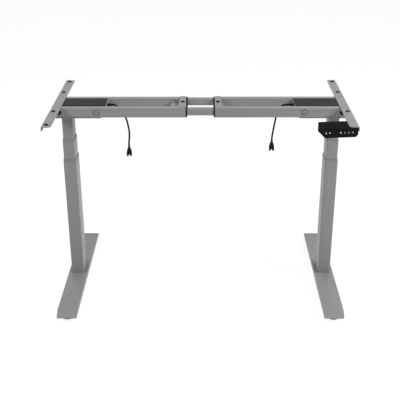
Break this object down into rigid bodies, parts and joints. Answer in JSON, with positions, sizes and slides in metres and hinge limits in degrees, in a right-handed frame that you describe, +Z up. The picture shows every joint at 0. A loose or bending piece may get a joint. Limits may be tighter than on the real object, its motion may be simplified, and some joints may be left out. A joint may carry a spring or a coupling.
{
  "type": "standing desk frame",
  "caption": "Height-adjustable desk frame: two motor columns of three telescoping tubes on long feet, joined by telescoping rails, with side brackets and a key handset.",
  "frame": {"origin": "on the floor, midway between the columns and midway along the feet", "axes": "+X from the left column to the right one, +Y from front to rear, +Z up"},
  "size_m": [1.107, 0.71, 0.76],
  "materials": {
    "grey_paint": "fine-texture powder coat",
    "grey_plastic": "moulded",
    "cover_plastic": "moulded, fine grain",
    "bare_steel": "turned",
    "plated_steel": "zinc plated",
    "black_plastic": "moulded",
    "cable_sheath": "extruded sheath",
    "rubber": "moulded",
    "brass": "turned brass",
    "key_plastic": "satin key"
  },
  "bodies": {
    "centre": {"centre_rails": "grey_paint"},
    "left_end": {"left_outer_rails": "grey_paint", "left_rail_bridge": "grey_paint", "left_rail_caps": "black_plastic", "left_side_bracket": "grey_paint", "left_bracket_grommets": "rubber", "left_motor_tray": "grey_paint", "left_motor_cover": "cover_plastic", "left_gearmotor": "bare_steel", "left_frame_screws": "plated_steel", "left_upper_tube": "grey_paint", "left_spindle_nut": "brass", "left_cable_gland": "black_plastic", "left_motor_cable": "cable_sheath", "left_motor_plug": "black_plastic", "left_cross_plate": "grey_paint"},
    "left_drive_rod": {"left_drive_spindle": "bare_steel"},
    "left_middle": {"left_middle_tube": "grey_paint", "left_middle_collar": "grey_plastic"},
    "left_screw": {"left_hollow_spindle": "bare_steel"},
    "left_lower": {"left_lower_tube": "grey_paint", "left_lower_collar": "grey_plastic", "left_base_spindle": "bare_steel", "left_foot": "grey_paint", "left_foot_bolts": "plated_steel"},
    "left_front_foot_glide": {"left_front_glide": "rubber"},
    "left_rear_foot_glide": {"left_rear_glide": "rubber"},
    "right_end": {"right_outer_rails": "grey_paint", "right_rail_bridge": "grey_paint", "right_rail_caps": "black_plastic", "right_side_bracket": "grey_paint", "right_bracket_grommets": "rubber", "right_motor_tray": "grey_paint", "right_motor_cover": "cover_plastic", "right_gearmotor": "bare_steel", "right_frame_screws": "plated_steel", "right_upper_tube": "grey_paint", "right_spindle_nut": "brass", "right_cable_gland": "black_plastic", "right_motor_cable": "cable_sheath", "right_motor_plug": "black_plastic", "handset_upper_shell": "black_plastic", "handset_lower_shell": "black_plastic"},
    "right_drive_rod": {"right_drive_spindle": "bare_steel"},
    "right_middle": {"right_middle_tube": "grey_paint", "right_middle_collar": "grey_plastic"},
    "right_screw": {"right_hollow_spindle": "bare_steel"},
    "right_lower": {"right_lower_tube": "grey_paint", "right_lower_collar": "grey_plastic", "right_base_spindle": "bare_steel", "right_foot": "grey_paint", "right_foot_bolts": "plated_steel"},
    "right_front_foot_glide": {"right_front_glide": "rubber"},
    "right_rear_foot_glide": {"right_rear_glide": "rubber"},
    "up_button_key": {"up_button": "key_plastic"},
    "down_button_key": {"down_button": "key_plastic"},
    "memory_button_key": {"memory_button": "key_plastic"},
    "preset_button_1_key": {"preset_button_1": "key_plastic"},
    "preset_button_2_key": {"preset_button_2": "key_plastic"},
    "preset_button_3_key": {"preset_button_3": "key_plastic"}
  },
  "joints": [
    {"name": "left_width", "type": "slide", "parent": "left_end", "child": "centre", "axis": [1, 0, 0], "range_m": [-0.045, 0.19]},
    {"name": "left_upper_lift", "type": "slide", "parent": "left_middle", "child": "left_end", "axis": [0, 0, 1], "range_m": [-0.07, 0.24]},
    {"name": "left_lower_lift", "type": "slide", "parent": "left_lower", "child": "left_middle", "axis": [0, 0, 1], "range_m": [-0.07, 0.24]},
    {"name": "left_drive_rod_spin", "type": "hinge", "parent": "left_end", "child": "left_drive_rod", "pos_m": [-0.5065, 0, 0.55], "axis": [0, 0, 1], "range_deg": [-3160, 10810]},
    {"name": "left_screw_spin", "type": "hinge", "parent": "left_middle", "child": "left_screw", "pos_m": [-0.5065, 0, 0.4], "axis": [0, 0, 1], "range_deg": [-3160, 10810]},
    {"name": "left_front_glide_screw", "type": "slide", "parent": "left_lower", "child": "left_front_foot_glide", "axis": [0, 0, -1], "range_m": [0, 0.01]},
    {"name": "left_rear_glide_screw", "type": "slide", "parent": "left_lower", "child": "left_rear_foot_glide", "axis": [0, 0, -1], "range_m": [0, 0.01]},
    {"name": "right_width", "type": "slide", "parent": "centre", "child": "right_end", "axis": [1, 0, 0], "range_m": [-0.045, 0.19]},
    {"name": "right_upper_lift", "type": "slide", "parent": "right_end", "child": "right_middle", "axis": [0, 0, -1], "range_m": [-0.07, 0.24]},
    {"name": "right_lower_lift", "type": "slide", "parent": "right_middle", "child": "right_lower", "axis": [0, 0, -1], "range_m": [-0.07, 0.24]},
    {"name": "right_drive_rod_spin", "type": "hinge", "parent": "right_end", "child": "right_drive_rod", "pos_m": [0.5065, 0, 0.55], "axis": [0, 0, 1], "range_deg": [-3160, 10810]},
    {"name": "right_screw_spin", "type": "hinge", "parent": "right_middle", "child": "right_screw", "pos_m": [0.5065, 0, 0.4], "axis": [0, 0, 1], "range_deg": [-3160, 10810]},
    {"name": "right_front_glide_screw", "type": "slide", "parent": "right_lower", "child": "right_front_foot_glide", "axis": [0, 0, -1], "range_m": [0, 0.01]},
    {"name": "right_rear_glide_screw", "type": "slide", "parent": "right_lower", "child": "right_rear_foot_glide", "axis": [0, 0, -1], "range_m": [0, 0.01]},
    {"name": "up_button_press", "type": "slide", "parent": "right_end", "child": "up_button_key", "axis": [-0.099, 0.9416, -0.3219], "range_m": [0, 0.0008], "stiffness_N_per_m": 1500},
    {"name": "down_button_press", "type": "slide", "parent": "right_end", "child": "down_button_key", "axis": [-0.099, 0.9416, -0.3219], "range_m": [0, 0.0008], "stiffness_N_per_m": 1500},
    {"name": "memory_button_press", "type": "slide", "parent": "right_end", "child": "memory_button_key", "axis": [-0.099, 0.9416, -0.3219], "range_m": [0, 0.0008], "stiffness_N_per_m": 1500},
    {"name": "preset_button_1_press", "type": "slide", "parent": "right_end", "child": "preset_button_1_key", "axis": [-0.099, 0.9416, -0.3219], "range_m": [0, 0.0008], "stiffness_N_per_m": 1500},
    {"name": "preset_button_2_press", "type": "slide", "parent": "right_end", "child": "preset_button_2_key", "axis": [-0.099, 0.9416, -0.3219], "range_m": [0, 0.0008], "stiffness_N_per_m": 1500},
    {"name": "preset_button_3_press", "type": "slide", "parent": "right_end", "child": "preset_button_3_key", "axis": [-0.099, 0.9416, -0.3219], "range_m": [0, 0.0008], "stiffness_N_per_m": 1500}
  ],
  "couplings": [
    {"joint": "left_lower_lift", "follows": "left_upper_lift", "ratio": 1},
    {"joint": "right_upper_lift", "follows": "left_upper_lift", "ratio": 1},
    {"joint": "right_lower_lift", "follows": "left_upper_lift", "ratio": 1},
    {"joint": "left_drive_rod_spin", "follows": "left_upper_lift", "rad_per_m": 785.4},
    {"joint": "left_screw_spin", "follows": "left_upper_lift", "rad_per_m": 785.4},
    {"joint": "right_drive_rod_spin", "follows": "left_upper_lift", "rad_per_m": 785.4},
    {"joint": "right_screw_spin", "follows": "left_upper_lift", "rad_per_m": 785.4}
  ]
}
